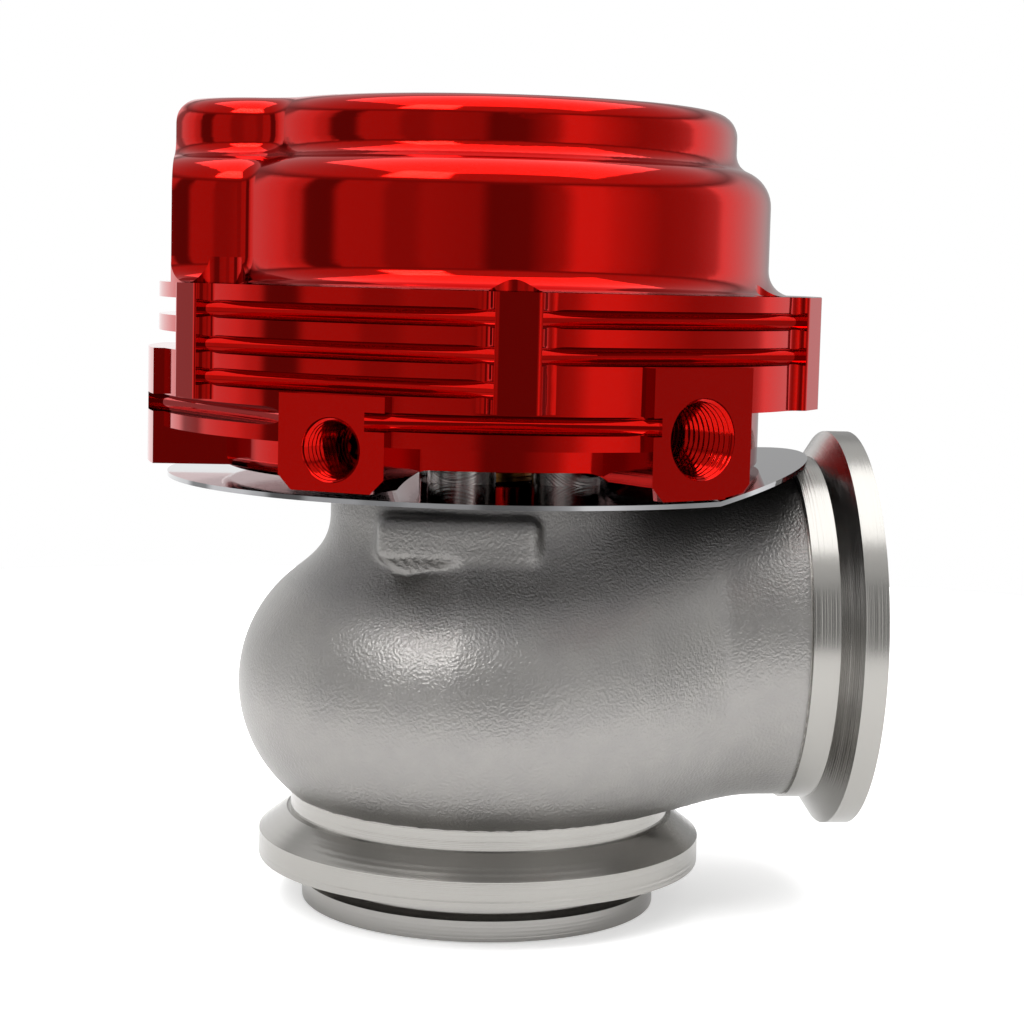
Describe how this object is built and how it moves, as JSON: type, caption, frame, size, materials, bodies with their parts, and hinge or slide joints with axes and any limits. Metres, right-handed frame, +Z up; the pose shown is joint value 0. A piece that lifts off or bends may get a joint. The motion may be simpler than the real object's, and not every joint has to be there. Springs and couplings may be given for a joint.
{
  "type": "turbo wastegate",
  "caption": "Water-cooled external wastegate: poppet valve in a cast housing with a V-band inlet below and outlet at the side, under a red anodised diaphragm actuator.",
  "frame": {"origin": "centre of the seat ring's foot, on the valve axis", "axes": "+Z up the valve stem towards the cap, +X out of the outlet"},
  "size_m": [0.0982, 0.094, 0.11],
  "materials": {
    "cast_stainless": "blasted casting",
    "machined_stainless": "fine turned",
    "polished_sheet": "mirror polished",
    "bronze": "turned",
    "zinc_screw": "bright plated",
    "red_anodised": "polished, red anodised",
    "plain_aluminium": "turned",
    "seal_rubber": "matt",
    "spring_steel": "shot peened"
  },
  "bodies": {
    "housing": {"valve_housing": "cast_stainless", "valve_seat": "machined_stainless", "valve_guide": "bronze", "heat_shield": "polished_sheet", "standoffs": "machined_stainless", "housing_screws": "zinc_screw", "housing_screw_washers": "zinc_screw", "lower_housing": "red_anodised", "stem_bushing": "bronze", "stem_seal": "seal_rubber", "seal_retainer": "machined_stainless", "diaphragm": "seal_rubber", "spring_outer": "spring_steel", "spring_inner": "spring_steel", "cap": "red_anodised", "cap_screws": "zinc_screw"},
    "valve_assembly": {"valve": "machined_stainless", "diaphragm_retainer": "plain_aluminium", "piston_cup": "plain_aluminium", "stem_washer": "machined_stainless", "stem_nut": "zinc_screw"}
  },
  "joints": [
    {"name": "valve_lift", "type": "slide", "parent": "housing", "child": "valve_assembly", "axis": [0, 0, 1], "range_m": [0, 0.01], "stiffness_N_per_m": 6000, "springref_m": -0.012, "deforming": ["spring_outer", "spring_inner", "diaphragm"]}
  ]
}
